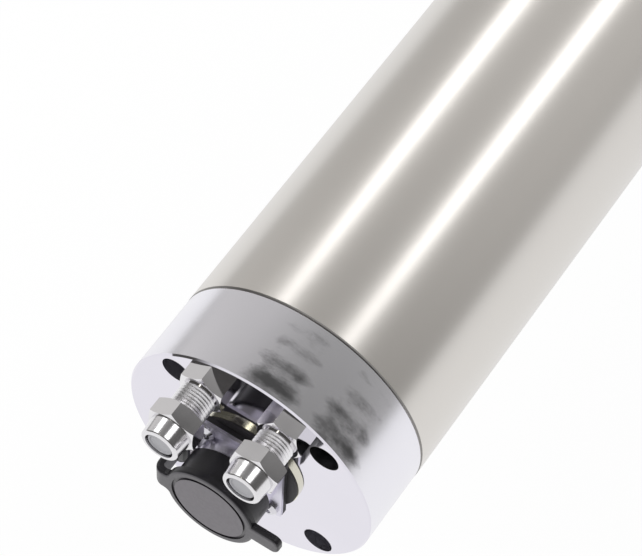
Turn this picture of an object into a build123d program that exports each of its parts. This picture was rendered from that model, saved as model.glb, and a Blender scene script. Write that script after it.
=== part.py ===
from build123d import *
from dataclasses import dataclass
from math import cos, radians, sin, tan
import os

# Water-cooled motor spindle. The spindle axis is +Y with the tool nose towards +Y and the
# connections towards -Y, +Z is up, and the origin is the middle of the ground clamping seat.
# All sizes are millimetres. A station is a place along +Y; a height is measured out of the
# rear face, towards -Y.

os.makedirs("parts", exist_ok=True)


@dataclass(frozen=True)
class Screw:
    """A hexagon socket cap screw."""

    thread: float
    head: float
    head_height: float
    socket: float
    length: float


@dataclass(frozen=True)
class Bearing:
    """A ball bearing given by its ring sizes and its balls."""

    bore: float
    outer: float
    width: float
    ball: float
    balls: int


# --- Driving dimensions ---------------------------------------------------------------------
# Fits
fit_gap = 0.03  # radial gap of pieces pressed or located in each other
slip_gap = 0.15  # radial gap of screws in their holes
turn_gap = 0.05  # radial gap of hinge pins and threads
free_gap = 0.3  # gap between pieces that only pass each other

# Body
body_diameter = 80.0
seat_length = 210.0
sleeve_wall = 2.5
cover_step = 0.1  # the end covers stand this far inside the ground seat
edge_break = 0.4
rim_chamfer = 0.5
spigot_length = 4.0

# Rear cover
rear_cap_length = 26.0
rear_cap_floor = 17.0
rear_cavity_diameter = 44.0
rear_screw = Screw(thread=5.0, head=8.5, head_height=5.0, socket=4.0, length=24.0)
rear_screw_inset = 6.2  # screw axes inside the body's radius
rear_screw_count = 4
rear_screw_angle = 45.0
counterbore_diameter = 9.2
counterbore_depth = 15.0

# Rear bearing plate
rear_plate_thickness = 14.0
rear_bearing = Bearing(bore=15.0, outer=32.0, width=9.0, ball=4.76, balls=10)
rear_shoulder = 2.0
spring_thickness = 0.8
rear_shoulder_lip = 2.6

# Coolant jacket
jacket_wall = 8.44
channel_count = 8
channel_width = 9.0
channel_depth = 4.0
channel_inset = 11.0
link_width = 9.0
seal_wire = 2.0
seal_inset = 4.5
coolant_drill = 4.6

# Stator and rotor
stator_bore = 33.0
stator_length = 100.0
back_iron = 4.4  # core metal outside the slots
slot_count = 18
slot_width = 3.6
slot_lip = 1.6
slot_mouth = 1.2
slot_liner = 0.2
coil_reach = 17.0
coil_length = 13.0
coil_rise = 1.2
air_gap = 0.4
rotor_bar_diameter = 2.6
rotor_bar_circle = 28.0
rotor_bar_count = 14
end_ring_length = 5.0
end_ring_bore = 23.4
end_ring_diameter = 31.8

# Front flange and bearings
front_flange_length = 14.0
front_journal_diameter = 25.0
front_bearing_width = 12.0
front_ball = 6.0
front_ball_count = 12
bearing_count = 2
bearing_spacing = 0.2
barrel_wall = 4.0
barrel_clearance = 1.5  # from the bearing barrel to the jacket's bore
front_shoulder = 4.0
front_shoulder_lip = 2.4
front_screw = Screw(thread=4.0, head=7.0, head_height=4.0, socket=3.0, length=21.0)
front_screw_inset = 7.0
front_screw_count = 6
front_screw_angle = 30.0
front_head_depth = 5.0
front_head_hole = 7.8

# Front bearing cover
front_cap_clearance = 0.5  # from the cap's rim to the flange screws' heads
front_cap_thickness = 5.0
front_cap_spigot = 4.0
cap_screw = Screw(thread=3.0, head=5.4, head_height=3.0, socket=2.5, length=9.0)
cap_screw_inset = 3.3  # screw axes inside the cap's rim
cap_screw_count = 6
cap_head_hole = 5.6
cap_head_depth = 3.2

# Shaft
rotor_seat_diameter = 22.0
rear_shoulder_diameter = 19.0
shaft_tail = 2.0
locknut_diameter = 33.0
locknut_length = 7.0
locknut_slots = 4
locknut_slot_width = 4.0
locknut_slot_depth = 2.0
nose_diameter = 30.0
nose_stand_off = 11.0  # nose shoulder in front of the front cover
nose_flats = 27.0
flats_length = 8.0
nose_thread = 25.0
nose_thread_length = 14.0
relief_diameter = 11.0
relief_depth = 48.0

# Collet and its nut
taper_angle = 8.0
taper_mouth = 21.0
collet_length = 31.5
collet_bore = 6.0
collet_neck = 18.4
collet_neck_width = 2.4
collet_head_length = 5.2
collet_head = 20.2
collet_face = 17.0
collet_seat_gap = 0.05
collet_slits = 4
slit_width = 0.7
slit_end = 5.0
nut_diameter = 34.0
nut_flats = 30.0
nut_length = 19.0
nut_grip = 12.0
nut_cone = 3.0
nut_mouth = 16.4
nut_lip = 19.1
nut_lip_width = 1.8

# Connector
ring_diameter = 34.8
ring_height = 1.2
gasket_base_height = 0.6
gasket_height = 2.2
gasket_inset = 0.2
gasket_side = 28.0
gasket_corner = 0.6
connector_hole = 25.2
flange_side = 28.0
flange_thickness = 1.0
flange_corner = 1.2
collar_diameter = 24.0
collar_height = 4.3
barrel_diameter = 18.6
barrel_bore = 16.2
barrel_length = 6.9
shell_depth = 12.0
insert_height = 1.6
pin_diameter = 2.0
pin_circle = 9.0
pin_count = 4
pin_height = 5.0
pin_tail = 5.0
key_width = 1.6
key_depth = 0.9
connector_screw = Screw(thread=3.0, head=5.2, head_height=1.8, socket=2.0, length=11.0)
connector_screw_pitch = 21.2
pan_dome = 0.9

# Dust cap
cap_disc = 28.7
cap_plate = 2.2
cap_skirt = 26.0
cap_skirt_bore = 22.0
cap_skirt_depth = 8.1
cap_edge = 0.9
cap_groove = 23.6
cap_groove_width = 1.0
cap_groove_depth = 0.5
tab_width = 6.4
tab_reach = 22.6
tab_length = 12.0
tab_corner = 2.2
cap_seal_thickness = 1.0
strap_width = 7.6
ear_bend = 3.2
ear_blend = 1.8
hinge_offset = 16.6
hinge_height = 8.0
hinge_pin = 2.0
knuckle_diameter = 4.4
lug_width = 2.4

# Coolant fittings
port_inset = 7.7  # port axes inside the body's radius
port_angle = 22.7  # each side of the top
stem_diameter = 9.8
stem_length = 9.0
port_seal_wire = 1.4
fitting_hex = 13.0
fitting_hex_height = 5.4
left_hex_turn = 28.4
right_hex_turn = 43.9
fitting_thread = 11.0
fitting_root = 10.1
fitting_pitch = 1.0
visible_turns = 8
fitting_reach = 17.0
fitting_bore = 5.6
tube_diameter = 8.0
tube_stop = 9.5
mouth_diameter = 10.4
mouth_depth = 2.2
hex_nut = 14.0
hex_nut_length = 5.6
nut_tail = 5.4
nut_tail_root = 12.6
nut_tail_tip = 11.6
nut_tail_round = 0.7
nut_thread_depth = 5.4
nut_bore = 8.8
ferrule_slope = 0.565
hex_chamfer = 0.6
left_nut_height = 13.4
right_nut_height = 11.9
left_nut_turn = 30.2
right_nut_turn = 15.5
ferrule_start = 4.1
ferrule_crest_start = 5.2
ferrule_end = 7.1
ferrule_crest = 10.7
ferrule_tail = 8.7
plug_diameter = 8.1
plug_recess = 0.5
plug_bevel = 0.3
plug_groove = 6.6

# --- Stations and radii that follow ----------------------------------------------------------
body_radius = body_diameter / 2
sleeve_bore = body_radius - sleeve_wall
cover_radius = body_radius - cover_step
spigot_radius = sleeve_bore - fit_gap
seat_back = -seat_length / 2
seat_front = seat_length / 2
rear_face = seat_back - rear_cap_length
flange_face = seat_front + front_flange_length

plate_back = seat_back + spigot_length
plate_front = plate_back + rear_plate_thickness
rear_bearing_back = plate_back + rear_shoulder + spring_thickness + 2 * fit_gap
rear_bearing_front = rear_bearing_back + rear_bearing.width
jacket_back = plate_front
jacket_front = seat_front - spigot_length
jacket_bore = spigot_radius - jacket_wall
channel_floor = spigot_radius - channel_depth

front_bearing = Bearing(
    bore=front_journal_diameter,
    outer=2 * (jacket_bore - barrel_clearance - barrel_wall - fit_gap),
    width=front_bearing_width,
    ball=front_ball,
    balls=front_ball_count,
)
bearing_front = flange_face - front_cap_spigot
bearing_back = bearing_front - bearing_count * (front_bearing.width + bearing_spacing)
barrel_back = bearing_back - front_shoulder
barrel_radius = front_bearing.outer / 2 + fit_gap + barrel_wall
front_screw_radius = body_radius - front_screw_inset
front_cap_radius = front_screw_radius - front_screw.head / 2 - front_cap_clearance
cap_screw_radius = front_cap_radius - cap_screw_inset
locknut_back = bearing_back - locknut_length
cap_face = flange_face + front_cap_thickness
nose_shoulder = cap_face + nose_stand_off
nose_end = nose_shoulder + nose_thread_length

stator_radius = jacket_bore - fit_gap
stator_back = (plate_front + barrel_back - stator_length) / 2
stator_front = stator_back + stator_length
slot_inner = stator_bore / 2 + slot_lip
slot_outer = stator_radius - back_iron
slot_depth = slot_outer - slot_inner
rotor_radius = stator_bore / 2 - air_gap

rear_screw_radius = body_radius - rear_screw_inset
connector_screw_at = connector_screw_pitch / 2
gasket_top = ring_height + gasket_height
flange_top = gasket_top + flange_thickness
collar_top = flange_top + collar_height
barrel_top = collar_top + barrel_length
insert_top = flange_top + insert_height
pin_top = insert_top + pin_height
cap_back = collar_top + free_gap
plate_bottom = cap_back + cap_skirt_depth
plate_top = plate_bottom + cap_plate

port_radius = body_radius - port_inset
port_x = port_radius * sin(radians(port_angle))
port_z = port_radius * cos(radians(port_angle))
tube_bore = tube_diameter / 2 + slip_gap
port_seal_seat = stem_diameter / 2 + port_seal_wire

UP = (Align.CENTER, Align.CENTER, Align.MIN)
DOWN = (Align.CENTER, Align.CENTER, Align.MAX)


# --- Planes and helpers ----------------------------------------------------------------------
def across(station):
    """Plane square to the axis at a station, facing the rear, with local y up."""
    return Plane.XZ.offset(-station)


def facing_nose(station):
    """Plane square to the axis at a station, facing the nose."""
    return Plane(origin=(0, station, 0), x_dir=(1, 0, 0), z_dir=(0, 1, 0))


def behind(height, x=0.0, z=0.0):
    """Plane square to the axis at a height over the rear face, facing out of the back."""
    return Plane(origin=(x, rear_face - height, z), x_dir=(1, 0, 0), z_dir=(0, -1, 0))


def out_of_rear(x=0.0, z=0.0):
    """Plane through a rear-face axis, with local y as the height over the rear face."""
    return Plane(origin=(x, rear_face, z), x_dir=(1, 0, 0), z_dir=(0, 0, -1))


def turn(points, plane=Plane.XY, mode=Mode.ADD):
    """Revolve a closed outline of (radius, station or height) points about the plane's y axis."""
    with BuildSketch(plane) as outline:
        with BuildLine():
            Polyline(*points, close=True)
        make_face()
    revolve(outline.sketch, axis=Axis(plane.origin, plane.y_dir), mode=mode)


def rectangle(inner, outer, low, high):
    """Outline of a plain ring or tube."""
    return [(inner, low), (outer, low), (outer, high), (inner, high)]


def ring_of(radius, count, start=0.0):
    """Points evenly spaced on a circle."""
    angles = [radians(start + 360.0 * k / count) for k in range(count)]
    return [(radius * cos(a), radius * sin(a)) for a in angles]


def finish(piece, label):
    """Label a finished piece and write it."""
    piece.label = label
    export_step(piece, f"parts/{label}.step")


def cap_screws(seat, places, screw):
    """A group of cap screws whose heads stand on the seat plane."""
    with BuildPart(seat) as screws:
        with Locations(*places):
            Cylinder(screw.head / 2, screw.head_height, align=UP)
            Cylinder(screw.thread / 2, screw.length, align=DOWN)
        with BuildSketch(seat.offset(screw.head_height)):
            with Locations(*places):
                RegularPolygon(screw.socket / 2, 6, major_radius=False)
        extrude(amount=-screw.head_height / 2, mode=Mode.SUBTRACT)
    return screws.part


def race_ring(bearing, stations, inner, outer):
    """Bearing rings between two radii, grooved for the balls, one at each station."""
    pitch = (bearing.bore + bearing.outer) / 4
    with BuildPart() as rings:
        for station in stations:
            turn(rectangle(inner, outer, station - bearing.width / 2, station + bearing.width / 2))
            with BuildSketch(Plane.XY) as groove:
                with Locations((pitch, station)):
                    Circle(bearing.ball / 2 + turn_gap)
            revolve(groove.sketch, axis=Axis.Y, mode=Mode.SUBTRACT)
    return rings.part


def ball_centres(bearing, stations):
    """Centres of the balls of bearings at the given stations."""
    pitch = (bearing.bore + bearing.outer) / 4
    return [(x, station, z) for station in stations for x, z in ring_of(pitch, bearing.balls)]


def ball_set(bearing, stations):
    """The balls of bearings at the given stations."""
    with BuildPart() as balls:
        with Locations(*ball_centres(bearing, stations)):
            Sphere(bearing.ball / 2)
    return balls.part


def ball_cage(bearing, stations):
    """The cages that space the balls."""
    pitch = (bearing.bore + bearing.outer) / 4
    wall = bearing.ball / 5
    half = bearing.ball / 2 + 1
    with BuildPart() as cages:
        for station in stations:
            turn(rectangle(pitch - wall, pitch + wall, station - half, station + half))
        for x, y, z in ball_centres(bearing, stations):
            with BuildSketch(Plane(origin=(x / 2, y, z / 2), x_dir=(0, 1, 0), z_dir=(x, 0, z))):
                Circle(bearing.ball / 2 + slip_gap)
            extrude(amount=pitch, mode=Mode.SUBTRACT)
    return cages.part


def race_wall(bearing):
    """Thickness of a bearing ring beside its groove."""
    return (bearing.outer - bearing.bore) / 4 - bearing.ball / 3.4


# --- Body ------------------------------------------------------------------------------------
with BuildPart() as housing_sleeve:
    turn(rectangle(sleeve_bore, body_radius, seat_back, seat_front))
    chamfer(housing_sleeve.edges().filter_by(GeomType.CIRCLE).sort_by(SortBy.RADIUS)[-2:], edge_break)
finish(housing_sleeve.part, "housing_sleeve")

port_places = [(-port_x, port_z), (port_x, port_z)]
rear_screw_places = ring_of(rear_screw_radius, rear_screw_count, rear_screw_angle)
screw_rows = (-connector_screw_at, connector_screw_at)
connector_screw_places = [(x, z) for x in screw_rows for z in screw_rows]
front_screw_places = ring_of(front_screw_radius, front_screw_count, front_screw_angle)
cap_screw_places = ring_of(cap_screw_radius, cap_screw_count)

with BuildPart(behind(0)) as rear_cap:
    turn(rectangle(connector_hole / 2, cover_radius, rear_face, seat_back))
    turn(rectangle(connector_hole / 2, spigot_radius, seat_back, plate_back))
    turn(rectangle(0, rear_cavity_diameter / 2, rear_face + rear_cap_floor, plate_back), mode=Mode.SUBTRACT)
    rims = rear_cap.edges().filter_by(GeomType.CIRCLE).filter_by(lambda e: e.radius > cover_radius - 0.01)
    chamfer(rims, rim_chamfer)
    with Locations(*rear_screw_places):
        CounterBoreHole(rear_screw.thread / 2 + slip_gap, counterbore_diameter / 2, counterbore_depth)
    with Locations(*port_places):
        Hole(stem_diameter / 2 + turn_gap, stem_length + free_gap)
        Hole(coolant_drill / 2)
        CounterBoreHole(stem_diameter / 2 + turn_gap, port_seal_seat, port_seal_wire, stem_length)
    with Locations(*connector_screw_places):
        Hole(connector_screw.thread / 2 + turn_gap, connector_screw.length)
finish(rear_cap.part, "rear_cap")

rear_screws = cap_screws(behind(-counterbore_depth), rear_screw_places, rear_screw)
finish(rear_screws, "rear_cap_screws")

with BuildPart(behind(0)) as rear_bearing_plate:
    turn(rectangle(rear_bearing.outer / 2 + fit_gap, spigot_radius, plate_back, plate_front))
    turn(
        rectangle(
            rear_bearing.outer / 2 - rear_shoulder_lip,
            spigot_radius,
            plate_back,
            plate_back + rear_shoulder,
        )
    )
    with Locations(*rear_screw_places):
        Hole(rear_screw.thread / 2 + turn_gap, counterbore_depth + rear_screw.length + free_gap)
    with Locations(*port_places):
        Hole(coolant_drill / 2)
finish(rear_bearing_plate.part, "rear_bearing_plate")

with BuildPart(behind(0)) as water_jacket:
    turn(rectangle(jacket_bore, spigot_radius, jacket_back, jacket_front))
    half_groove = seal_wire / 2 + slip_gap
    for station in (jacket_back + seal_inset, jacket_front - seal_inset):
        low = station - half_groove
        high = station + half_groove
        turn(rectangle(spigot_radius - seal_wire, body_radius, low, high), mode=Mode.SUBTRACT)
    first_angle = 90 + port_angle
    channel_sweep = 360 - 2 * port_angle
    channel_step = channel_sweep / (channel_count - 1)
    channel_length = jacket_front - jacket_back - 2 * channel_inset
    channel_middle = (channel_floor + body_radius) / 2
    channel_tall = body_radius - channel_floor
    with BuildSketch(across(jacket_back + channel_inset)):
        with PolarLocations(channel_middle, channel_count, first_angle, channel_sweep, endpoint=True):
            Rectangle(channel_tall, channel_width)
    extrude(amount=-channel_length, mode=Mode.SUBTRACT)
    for k in range(channel_count - 1):
        low = jacket_front - channel_inset - link_width if k % 2 == 0 else jacket_back + channel_inset
        start = radians(first_angle + k * channel_step)
        middle = radians(first_angle + (k + 0.5) * channel_step)
        end = radians(first_angle + (k + 1) * channel_step)
        with BuildSketch(across(low)):
            with BuildLine():
                floor = [(channel_floor * cos(a), channel_floor * sin(a)) for a in (start, middle, end)]
                rim = [(body_radius * cos(a), body_radius * sin(a)) for a in (start, middle, end)]
                ThreePointArc(*floor)
                Line(floor[2], rim[2])
                ThreePointArc(*reversed(rim))
                Line(rim[0], floor[0])
            make_face()
        extrude(amount=-link_width, mode=Mode.SUBTRACT)
    with Locations(*port_places):
        Hole(coolant_drill / 2, jacket_back + channel_inset + channel_depth - rear_face)
    with BuildSketch(facing_nose(jacket_front)):
        with Locations(*front_screw_places):
            Circle(front_screw.thread / 2 + turn_gap)
    extrude(amount=1 - channel_inset, mode=Mode.SUBTRACT)
finish(water_jacket.part, "water_jacket")

with BuildPart() as jacket_seals:
    for station in (jacket_back + seal_inset, jacket_front - seal_inset):
        with BuildSketch(Plane.XY) as wire:
            with Locations((spigot_radius - seal_wire / 2, station)):
                Circle(seal_wire / 2 - turn_gap)
        revolve(wire.sketch, axis=Axis.Y)
finish(jacket_seals.part, "jacket_seals")

# --- Rear bearing ----------------------------------------------------------------------------
rear_stations = [rear_bearing_back + rear_bearing.width / 2]
rear_race = race_wall(rear_bearing)
rear_outer_ring = race_ring(
    rear_bearing, rear_stations, rear_bearing.outer / 2 - rear_race, rear_bearing.outer / 2
)
finish(rear_outer_ring, "rear_bearing_outer_ring")
rear_inner_ring = race_ring(
    rear_bearing, rear_stations, rear_bearing.bore / 2, rear_bearing.bore / 2 + rear_race
)
finish(rear_inner_ring, "rear_bearing_inner_ring")
finish(ball_set(rear_bearing, rear_stations), "rear_bearing_balls")
finish(ball_cage(rear_bearing, rear_stations), "rear_bearing_cage")

with BuildPart() as preload_spring:
    spring_back = plate_back + rear_shoulder + fit_gap
    turn(
        rectangle(
            rear_bearing.outer / 2 - rear_race,
            rear_bearing.outer / 2 - free_gap,
            spring_back,
            spring_back + spring_thickness,
        )
    )
finish(preload_spring.part, "preload_spring")

# --- Stator ----------------------------------------------------------------------------------
with BuildPart() as stator_core:
    with BuildSketch(across(stator_back)):
        Circle(stator_radius)
        Circle(stator_bore / 2, mode=Mode.SUBTRACT)
        with PolarLocations((slot_inner + slot_outer) / 2, slot_count):
            Rectangle(slot_depth, slot_width, mode=Mode.SUBTRACT)
        with PolarLocations(stator_bore / 2 + slot_lip / 2, slot_count):
            Rectangle(slot_lip + 1, slot_mouth, mode=Mode.SUBTRACT)
    extrude(amount=-stator_length)
finish(stator_core.part, "stator_core")

with BuildPart() as stator_windings:
    with BuildSketch(across(stator_back - coil_reach)):
        with PolarLocations((slot_inner + slot_outer) / 2, slot_count):
            Rectangle(slot_depth - 2 * slot_liner, slot_width - 2 * slot_liner)
    extrude(amount=-(stator_length + 2 * coil_reach))
    for low in (stator_back - coil_reach, stator_front + coil_reach - coil_length):
        turn(rectangle(slot_inner + slot_liner, slot_outer + coil_rise, low, low + coil_length))
finish(stator_windings.part, "stator_windings")

# --- Rotor and shaft -------------------------------------------------------------------------
with BuildPart() as rotor_core:
    with BuildSketch(across(stator_back)):
        Circle(rotor_radius)
        Circle(rotor_seat_diameter / 2 + fit_gap, mode=Mode.SUBTRACT)
        with PolarLocations(rotor_bar_circle / 2, rotor_bar_count):
            Circle(rotor_bar_diameter / 2 + fit_gap, mode=Mode.SUBTRACT)
    extrude(amount=-stator_length)
finish(rotor_core.part, "rotor_core")

with BuildPart() as rotor_cage:
    with BuildSketch(across(stator_back - end_ring_length)):
        with PolarLocations(rotor_bar_circle / 2, rotor_bar_count):
            Circle(rotor_bar_diameter / 2)
    extrude(amount=-(stator_length + 2 * end_ring_length))
    for low in (stator_back - end_ring_length, stator_front):
        turn(rectangle(end_ring_bore / 2, end_ring_diameter / 2, low, low + end_ring_length))
finish(rotor_cage.part, "rotor_cage")

taper_slope = tan(radians(taper_angle))
taper_length = collet_length - collet_head_length
taper_root = taper_mouth / 2 - taper_length * taper_slope
with BuildPart() as shaft:
    front_journal = front_bearing.bore / 2 - fit_gap
    turn(
        [
            (0, rear_bearing_back - shaft_tail),
            (rear_bearing.bore / 2 - fit_gap, rear_bearing_back - shaft_tail),
            (rear_bearing.bore / 2 - fit_gap, rear_bearing_front),
            (rear_shoulder_diameter / 2, rear_bearing_front),
            (rear_shoulder_diameter / 2, stator_back - 2 * end_ring_length),
            (rotor_seat_diameter / 2, stator_back - 2 * end_ring_length),
            (rotor_seat_diameter / 2, locknut_back - free_gap),
            (front_journal, locknut_back - free_gap),
            (front_journal, bearing_front),
            (nose_diameter / 2, bearing_front),
            (nose_diameter / 2, nose_shoulder),
            (nose_thread / 2, nose_shoulder),
            (nose_thread / 2, nose_end - edge_break),
            (nose_thread / 2 - edge_break, nose_end),
            (taper_mouth / 2, nose_end),
            (taper_root, nose_end - taper_length),
            (relief_diameter / 2, nose_end - taper_length),
            (relief_diameter / 2, nose_end - relief_depth),
            (0, nose_end - relief_depth - relief_diameter / 2 * tan(radians(30))),
        ]
    )
    with BuildSketch(across(nose_shoulder - flats_length)):
        for side in (-1, 1):
            with Locations((side * nose_diameter / 2, 0)):
                Rectangle(nose_diameter - nose_flats, nose_diameter)
    extrude(amount=-flats_length, mode=Mode.SUBTRACT)
finish(shaft.part, "shaft")

# --- Front flange, bearings and cover --------------------------------------------------------
front_stations = [
    bearing_back + front_bearing.width / 2 + k * (front_bearing.width + bearing_spacing)
    for k in range(bearing_count)
]
with BuildPart(facing_nose(flange_face)) as front_flange:
    bearing_seat = front_bearing.outer / 2 + fit_gap
    turn(
        [
            (bearing_seat, bearing_back),
            (bearing_seat, flange_face),
            (cover_radius, flange_face),
            (cover_radius, seat_front),
            (spigot_radius, seat_front),
            (spigot_radius, jacket_front),
            (barrel_radius, jacket_front),
            (barrel_radius, barrel_back),
            (bearing_seat - front_shoulder_lip, barrel_back),
            (bearing_seat - front_shoulder_lip, bearing_back),
        ]
    )
    rims = front_flange.edges().filter_by(GeomType.CIRCLE).filter_by(lambda e: e.radius > cover_radius - 0.01)
    chamfer(rims, rim_chamfer)
    with Locations(*front_screw_places):
        CounterBoreHole(front_screw.thread / 2 + slip_gap, front_head_hole / 2, front_head_depth)
    with Locations(*cap_screw_places):
        Hole(cap_screw.thread / 2 + turn_gap, cap_screw.length)
finish(front_flange.part, "front_flange")

front_screws = cap_screws(facing_nose(flange_face - front_head_depth), front_screw_places, front_screw)
finish(front_screws, "front_flange_screws")

front_race = race_wall(front_bearing)
front_outer_rings = race_ring(
    front_bearing, front_stations, front_bearing.outer / 2 - front_race, front_bearing.outer / 2
)
finish(front_outer_rings, "front_bearing_outer_rings")
front_inner_rings = race_ring(
    front_bearing, front_stations, front_bearing.bore / 2, front_bearing.bore / 2 + front_race
)
finish(front_inner_rings, "front_bearing_inner_rings")
finish(ball_set(front_bearing, front_stations), "front_bearing_balls")
finish(ball_cage(front_bearing, front_stations), "front_bearing_cages")

with BuildPart() as bearing_locknut:
    turn(rectangle(front_bearing.bore / 2 + fit_gap, locknut_diameter / 2, locknut_back, bearing_back))
    with BuildSketch(across(locknut_back)):
        with PolarLocations(locknut_diameter / 2, locknut_slots):
            Rectangle(2 * locknut_slot_depth, locknut_slot_width)
    extrude(amount=-locknut_length, mode=Mode.SUBTRACT)
finish(bearing_locknut.part, "bearing_locknut")

with BuildPart(facing_nose(cap_face)) as front_cap:
    labyrinth = nose_diameter / 2 + free_gap
    spigot_outer = front_bearing.outer / 2 - fit_gap
    turn(
        [
            (labyrinth, flange_face),
            (spigot_outer - 2, flange_face),
            (spigot_outer - 2, bearing_front + fit_gap),
            (spigot_outer, bearing_front + fit_gap),
            (spigot_outer, flange_face),
            (front_cap_radius, flange_face),
            (front_cap_radius, cap_face - edge_break),
            (front_cap_radius - edge_break, cap_face),
            (labyrinth, cap_face),
        ]
    )
    with Locations(*cap_screw_places):
        CounterBoreHole(cap_screw.thread / 2 + slip_gap, cap_head_hole / 2, cap_head_depth)
finish(front_cap.part, "front_cap")

front_cover_screws = cap_screws(facing_nose(cap_face - cap_head_depth), cap_screw_places, cap_screw)
finish(front_cover_screws, "front_cap_screws")

# --- Collet and nut --------------------------------------------------------------------------
collet_back = nose_end - taper_length
head_base = nose_end + collet_neck_width
collet_front = nose_end + collet_head_length
head_slope = (collet_head - collet_face) / 2 / (collet_front - head_base)
with BuildPart() as collet:
    turn(
        [
            (collet_bore / 2, collet_back),
            (taper_root - collet_seat_gap, collet_back),
            (taper_mouth / 2 - collet_seat_gap, nose_end),
            (collet_neck / 2, nose_end),
            (collet_neck / 2, head_base),
            (collet_head / 2, head_base),
            (collet_face / 2, collet_front),
            (collet_bore / 2, collet_front),
        ]
    )
    for first, low in ((0, collet_back), (180 / collet_slits, collet_back + slit_end)):
        with BuildSketch(across(low)):
            with PolarLocations(taper_mouth / 2, collet_slits, start_angle=first):
                Rectangle(taper_mouth, slit_width)
        extrude(amount=-(collet_length - slit_end), mode=Mode.SUBTRACT)
finish(collet.part, "collet")

nut_back = nose_end - nut_grip
nut_front = nut_back + nut_length
with BuildPart() as collet_nut:
    with BuildSketch(across(nut_back)):
        RegularPolygon(nut_flats / 2, 6, major_radius=False)
    extrude(amount=-nut_length)
    turn(
        [
            (0, nut_back),
            (nut_flats / 2, nut_back),
            (nut_diameter / 2, nut_back + nut_diameter / 2 - nut_flats / 2),
            (nut_diameter / 2, nut_front - nut_cone),
            (nut_diameter / 2 - nut_cone, nut_front),
            (0, nut_front),
        ],
        mode=Mode.INTERSECT,
    )
    turn(rectangle(0, nose_thread / 2 + turn_gap, nut_back, nose_end + turn_gap), mode=Mode.SUBTRACT)
    lip_top = nose_end + free_gap + nut_lip_width
    turn(rectangle(0, nut_lip / 2, nose_end, lip_top), mode=Mode.SUBTRACT)
    turn(
        [
            (0, lip_top),
            (collet_head / 2 + collet_seat_gap + (head_base - lip_top) * head_slope, lip_top),
            (collet_face / 2 + collet_seat_gap, collet_front),
            (nut_mouth / 2, nut_front),
            (0, nut_front),
        ],
        mode=Mode.SUBTRACT,
    )
finish(collet_nut.part, "collet_nut")

# --- Connector -------------------------------------------------------------------------------
with BuildPart(behind(ring_height)) as connector_ring:
    turn(rectangle(connector_hole / 2, ring_diameter / 2, 0, ring_height), out_of_rear())
    with Locations(*connector_screw_places):
        Hole(connector_screw.thread / 2 + slip_gap)
finish(connector_ring.part, "connector_ring")

with BuildPart(behind(gasket_top)) as connector_gasket:
    turn(
        rectangle(
            connector_hole / 2,
            ring_diameter / 2 - gasket_inset,
            ring_height,
            ring_height + gasket_base_height,
        ),
        out_of_rear(),
    )
    with BuildSketch(behind(ring_height + gasket_base_height)):
        RectangleRounded(gasket_side, gasket_side, gasket_corner)
        Circle(connector_hole / 2, mode=Mode.SUBTRACT)
    extrude(amount=gasket_height - gasket_base_height)
    with Locations(*connector_screw_places):
        Hole(connector_screw.thread / 2 + slip_gap)
finish(connector_gasket.part, "connector_gasket")

shell_back = gasket_top - shell_depth
lug_inner = strap_width / 2 + free_gap
with BuildPart(behind(flange_top)) as connector_shell:
    with BuildSketch(behind(gasket_top)):
        RectangleRounded(flange_side, flange_side, flange_corner)
    extrude(amount=flange_thickness)
    turn(
        [
            (0, shell_back),
            (connector_hole / 2 - slip_gap, shell_back),
            (connector_hole / 2 - slip_gap, gasket_top),
            (collar_diameter / 2, gasket_top),
            (collar_diameter / 2, collar_top - edge_break),
            (collar_diameter / 2 - edge_break, collar_top),
            (barrel_diameter / 2, collar_top),
            (barrel_diameter / 2, barrel_top - edge_break),
            (barrel_diameter / 2 - edge_break, barrel_top),
            (0, barrel_top),
        ],
        out_of_rear(),
    )
    for top in (lug_inner + lug_width, -lug_inner):
        with BuildSketch(out_of_rear(0, top)):
            with Locations((-hinge_offset, hinge_height)):
                Circle(knuckle_diameter / 2)
            with Locations((1 - flange_side / 2, (gasket_top + flange_top) / 2)):
                Rectangle(2, flange_thickness)
            make_hull()
            with Locations((-hinge_offset, hinge_height)):
                Circle(hinge_pin / 2 + fit_gap, mode=Mode.SUBTRACT)
        extrude(amount=lug_width)
    turn(rectangle(0, barrel_bore / 2, shell_back, barrel_top), out_of_rear(), Mode.SUBTRACT)
    with BuildSketch(behind(insert_top + free_gap)):
        with Locations((0, barrel_bore / 2)):
            Rectangle(key_width, 2 * key_depth)
    extrude(amount=barrel_top - edge_break - insert_top - free_gap - 1)
    with Locations(*connector_screw_places):
        Hole(connector_screw.thread / 2 + slip_gap)
finish(connector_shell.part, "connector_shell")

pin_places = ring_of(pin_circle / 2, pin_count, 45.0)
with BuildPart(behind(insert_top)) as connector_insert:
    turn(rectangle(0, barrel_bore / 2 - fit_gap, shell_back, insert_top), out_of_rear())
    with Locations(*pin_places):
        Hole(pin_diameter / 2 + fit_gap)
finish(connector_insert.part, "connector_insert")

with BuildPart() as connector_pins:
    for x, z in pin_places:
        turn(
            [
                (0, shell_back - pin_tail),
                (pin_diameter / 2, shell_back - pin_tail),
                (pin_diameter / 2, pin_top - pin_diameter / 4),
                (pin_diameter / 4, pin_top),
                (0, pin_top),
            ],
            out_of_rear(x, z),
        )
finish(connector_pins.part, "connector_pins")

with BuildPart(behind(flange_top)) as connector_screws:
    head_top = flange_top + connector_screw.head_height
    for x, z in connector_screw_places:
        turn(
            [
                (0, flange_top - connector_screw.length),
                (connector_screw.thread / 2, flange_top - connector_screw.length),
                (connector_screw.thread / 2, flange_top),
                (connector_screw.head / 2, flange_top),
                (connector_screw.head / 2, flange_top + connector_screw.head_height / 2),
                (connector_screw.head / 2 - pan_dome, head_top),
                (0, head_top),
            ],
            out_of_rear(x, z),
        )
    with BuildSketch(behind(head_top)):
        with Locations(*connector_screw_places):
            RegularPolygon(connector_screw.socket / 2, 6, major_radius=False)
    extrude(amount=-connector_screw.head_height / 2, mode=Mode.SUBTRACT)
finish(connector_screws.part, "connector_screws")

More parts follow.
